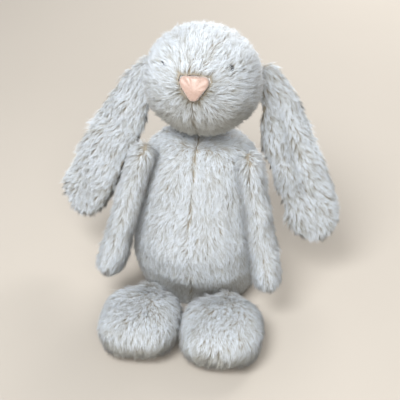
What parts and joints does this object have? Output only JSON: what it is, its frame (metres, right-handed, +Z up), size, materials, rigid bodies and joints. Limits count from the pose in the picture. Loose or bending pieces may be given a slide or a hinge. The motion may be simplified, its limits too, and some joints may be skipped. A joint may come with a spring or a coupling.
{
  "type": "stuffed bunny rabbit",
  "caption": "Seated lop-eared plush rabbit with long silver-grey pile, pink nose, floppy ears, soft arms, broad feet and a round tail.",
  "frame": {"origin": "middle of the flat base panel that the toy sits on", "axes": "+Z up, the face looks along -Y, +X is the rabbit's own left"},
  "size_m": [0.3222, 0.246, 0.3071],
  "materials": {
    "long_pile": "silver-grey long pile, soft sheen",
    "short_pile": "warm grey short pile",
    "nose_satin": "pale pink satin",
    "eye_gloss": "polished black",
    "washer_plastic": "moulded",
    "fibre_fill": "loose white fibre",
    "pouch_cloth": "plain woven cotton",
    "pellet_beads": "small beads",
    "label_tape": "blank woven tape"
  },
  "bodies": {
    "torso": {"torso_front_left": "long_pile", "torso_front_right": "long_pile", "torso_back_left": "long_pile", "torso_back_right": "long_pile", "base_panel": "short_pile", "torso_stuffing": "fibre_fill", "pellet_pouch": "pouch_cloth", "pellets": "pellet_beads", "tail_cover": "long_pile", "tail_stuffing": "fibre_fill", "care_label": "label_tape"},
    "head": {"head_side_left": "long_pile", "head_side_right": "long_pile", "head_gusset": "long_pile", "head_stuffing": "fibre_fill", "nose": "nose_satin", "eye_left": "eye_gloss", "eye_right": "eye_gloss", "eye_washer_left": "washer_plastic", "eye_washer_right": "washer_plastic"},
    "ear_left": {"ear_outer_left": "long_pile", "ear_inner_left": "long_pile"},
    "arm_left": {"arm_outer_left": "long_pile", "arm_inner_left": "long_pile", "arm_stuffing_left": "fibre_fill"},
    "leg_left": {"leg_cover_left": "long_pile", "foot_upper_left": "long_pile", "foot_sole_left": "short_pile", "leg_stuffing_left": "fibre_fill"},
    "ear_right": {"ear_outer_right": "long_pile", "ear_inner_right": "long_pile"},
    "arm_right": {"arm_outer_right": "long_pile", "arm_inner_right": "long_pile", "arm_stuffing_right": "fibre_fill"},
    "leg_right": {"leg_cover_right": "long_pile", "foot_upper_right": "long_pile", "foot_sole_right": "short_pile", "leg_stuffing_right": "fibre_fill"}
  },
  "joints": [
    {"name": "neck_nod", "type": "hinge", "parent": "torso", "child": "head", "pos_m": [0, 0.03128, 0.1982], "axis": [1, 0, 0], "range_deg": [-12, 18], "stiffness_Nm_per_rad": 0.6},
    {"name": "ear_lift_left", "type": "hinge", "parent": "head", "child": "ear_left", "pos_m": [0.06279, 0.07233, 0.2482], "axis": [0, -1, 0], "range_deg": [0, 85]},
    {"name": "ear_lift_right", "type": "hinge", "parent": "head", "child": "ear_right", "pos_m": [-0.06279, 0.07233, 0.2482], "axis": [0, 1, 0], "range_deg": [0, 85]},
    {"name": "shoulder_swing_left", "type": "hinge", "parent": "torso", "child": "arm_left", "pos_m": [0.0571, -0.00891, 0.17672], "axis": [-1, 0, 0], "range_deg": [0, 90]},
    {"name": "shoulder_swing_right", "type": "hinge", "parent": "torso", "child": "arm_right", "pos_m": [-0.0571, -0.00891, 0.17672], "axis": [-1, 0, 0], "range_deg": [0, 90]},
    {"name": "hip_lift_left", "type": "hinge", "parent": "torso", "child": "leg_left", "pos_m": [0.044, -0.05966, 0.0224], "axis": [-1, 0, 0], "range_deg": [0, 28]},
    {"name": "hip_lift_right", "type": "hinge", "parent": "torso", "child": "leg_right", "pos_m": [-0.044, -0.05966, 0.0224], "axis": [-1, 0, 0], "range_deg": [0, 28]}
  ]
}
